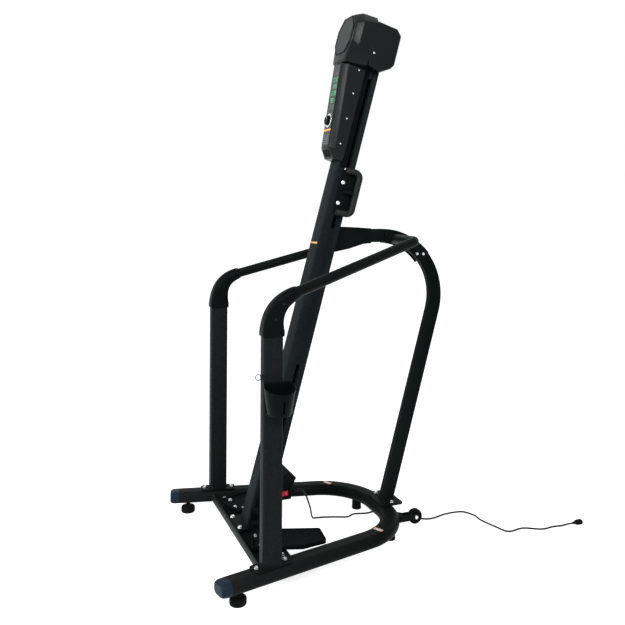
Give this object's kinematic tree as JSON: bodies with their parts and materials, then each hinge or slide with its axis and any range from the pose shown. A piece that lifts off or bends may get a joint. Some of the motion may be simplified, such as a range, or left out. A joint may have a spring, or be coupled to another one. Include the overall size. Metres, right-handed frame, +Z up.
{
  "type": "vertical climber",
  "caption": "Standing climbing exerciser: leaning slotted mast with sliding hand grips and pedals, U base, handrails, rear arch, console and flywheel head",
  "frame": {"origin": "on the floor, under the middle of the machine's outline without its cord", "axes": "+Z up; +Y away from the user, who stands on the -Y side and faces +Y; +X to the user's right"},
  "size_m": [0.9798, 1.72, 2.2821],
  "materials": {
    "powder": "satin black powder coat",
    "plastic": "matt black moulded",
    "gloss": "glossy dark moulded",
    "rubber": "black rubber",
    "steel": "bright plated",
    "cast": "machined",
    "red": "glossy red",
    "board": "circuit board"
  },
  "bodies": {
    "frame": {"base_u_tube": "powder", "base_end_cap_right": "plastic", "base_end_cap_left": "plastic", "platform": "powder", "post_right": "powder", "post_left": "powder", "elbow_outer_right": "plastic", "elbow_inner_right": "plastic", "elbow_outer_left": "plastic", "elbow_inner_left": "plastic", "handrail_right": "powder", "handrail_left": "powder", "rail_bracket_right": "powder", "rail_bracket_left": "powder", "arch_tube": "powder", "mast_bracket": "powder", "mast": "powder", "head_front_shell": "gloss", "head_rear_housing": "gloss", "badge_panel": "gloss", "console_shell": "plastic", "console_face": "gloss", "console_board": "board", "power_box": "plastic", "cup_holder": "plastic", "hook_ring": "steel", "top_axle": "steel", "bottom_axle": "steel", "flywheel_bracket": "steel", "drive_belt_right": "rubber", "drive_belt_left": "rubber", "wheel_bracket_right": "powder", "wheel_bracket_left": "powder", "wheel_axle_right": "steel", "wheel_axle_left": "steel", "rear_foot_right": "rubber", "rear_foot_left": "rubber", "power_cord": "rubber", "cord_gland": "rubber", "plug": "rubber"},
    "right_pedal": {"pedal_right": "plastic", "pedal_arm_right": "powder"},
    "right_grip": {"grip_right": "rubber", "grip_slider_right": "plastic"},
    "right_top_pulley": {"top_pulley_right": "cast"},
    "right_bottom_pulley": {"bottom_pulley_right": "cast"},
    "right_transport_wheel": {"transport_wheel_right": "rubber"},
    "right_levelling_foot": {"levelling_foot_right": "rubber"},
    "left_pedal": {"pedal_left": "plastic", "pedal_arm_left": "powder"},
    "left_grip": {"grip_left": "rubber", "grip_slider_left": "plastic"},
    "left_top_pulley": {"top_pulley_left": "cast"},
    "left_bottom_pulley": {"bottom_pulley_left": "cast"},
    "left_transport_wheel": {"transport_wheel_left": "rubber"},
    "left_levelling_foot": {"levelling_foot_left": "rubber"},
    "flywheel": {"flywheel": "cast"},
    "resistance_knob": {"resistance_knob": "steel"},
    "brake_arm": {"brake_arm": "steel"},
    "power_switch": {"power_switch": "red"}
  },
  "joints": [
    {"name": "right_pedal_slide", "type": "slide", "parent": "frame", "child": "right_pedal", "axis": [0, 0.2588, 0.9659], "range_m": [0, 0.43]},
    {"name": "right_grip_slide", "type": "slide", "parent": "frame", "child": "right_grip", "axis": [0, 0.2588, 0.9659], "range_m": [0, 0.43]},
    {"name": "right_top_pulley_spin", "type": "hinge", "parent": "frame", "child": "right_top_pulley", "pos_m": [0.00759, 0.21884, 2.11468], "axis": [1, 0, 0], "range_deg": [0, 1072]},
    {"name": "right_bottom_pulley_spin", "type": "hinge", "parent": "frame", "child": "right_bottom_pulley", "pos_m": [0.00759, -0.31044, 0.13937], "axis": [1, 0, 0], "range_deg": [0, 1072]},
    {"name": "right_wheel_spin", "type": "hinge", "parent": "frame", "child": "right_transport_wheel", "pos_m": [0.11459, 0.3855, 0.062], "axis": [1, 0, 0], "continuous": true},
    {"name": "right_foot_turn", "type": "hinge", "parent": "frame", "child": "right_levelling_foot", "pos_m": [0.4058, -0.5045, 0], "axis": [0, 0, 1], "continuous": true},
    {"name": "left_pedal_slide", "type": "slide", "parent": "frame", "child": "left_pedal", "axis": [0, 0.2588, 0.9659], "range_m": [0, 0.43]},
    {"name": "left_grip_slide", "type": "slide", "parent": "frame", "child": "left_grip", "axis": [0, 0.2588, 0.9659], "range_m": [0, 0.43]},
    {"name": "left_top_pulley_spin", "type": "hinge", "parent": "frame", "child": "left_top_pulley", "pos_m": [-0.03841, 0.21884, 2.11468], "axis": [1, 0, 0], "range_deg": [0, 1072]},
    {"name": "left_bottom_pulley_spin", "type": "hinge", "parent": "frame", "child": "left_bottom_pulley", "pos_m": [-0.03841, -0.31044, 0.13937], "axis": [1, 0, 0], "range_deg": [0, 1072]},
    {"name": "left_wheel_spin", "type": "hinge", "parent": "frame", "child": "left_transport_wheel", "pos_m": [-0.14541, 0.3855, 0.062], "axis": [1, 0, 0], "continuous": true},
    {"name": "left_foot_turn", "type": "hinge", "parent": "frame", "child": "left_levelling_foot", "pos_m": [-0.43663, -0.5045, 0], "axis": [0, 0, 1], "continuous": true},
    {"name": "flywheel_spin", "type": "hinge", "parent": "frame", "child": "flywheel", "pos_m": [-0.01541, 0.21884, 2.11468], "axis": [1, 0, 0], "continuous": true},
    {"name": "knob_turn", "type": "hinge", "parent": "frame", "child": "resistance_knob", "pos_m": [-0.01541, 0.01678, 1.80337], "axis": [0, -0.9869, 0.1614], "range_deg": [0, 300]},
    {"name": "brake_tilt", "type": "hinge", "parent": "frame", "child": "brake_arm", "pos_m": [-0.01541, 0.12283, 2.08865], "axis": [-1, 0, 0], "range_deg": [0, 4]},
    {"name": "switch_rock", "type": "hinge", "parent": "frame", "child": "power_switch", "pos_m": [0.02859, -0.1935, 0.212], "axis": [0, 0, -1], "range_deg": [0, 14]}
  ],
  "couplings": [
    {"joint": "right_grip_slide", "follows": "right_pedal_slide", "ratio": 1},
    {"joint": "right_top_pulley_spin", "follows": "right_pedal_slide", "rad_per_m": 43.478},
    {"joint": "right_bottom_pulley_spin", "follows": "right_pedal_slide", "rad_per_m": 43.478},
    {"joint": "left_grip_slide", "follows": "left_pedal_slide", "ratio": 1},
    {"joint": "left_top_pulley_spin", "follows": "left_pedal_slide", "rad_per_m": 43.478},
    {"joint": "left_bottom_pulley_spin", "follows": "left_pedal_slide", "rad_per_m": 43.478},
    {"joint": "brake_tilt", "follows": "knob_turn", "ratio": 0.013333}
  ]
}
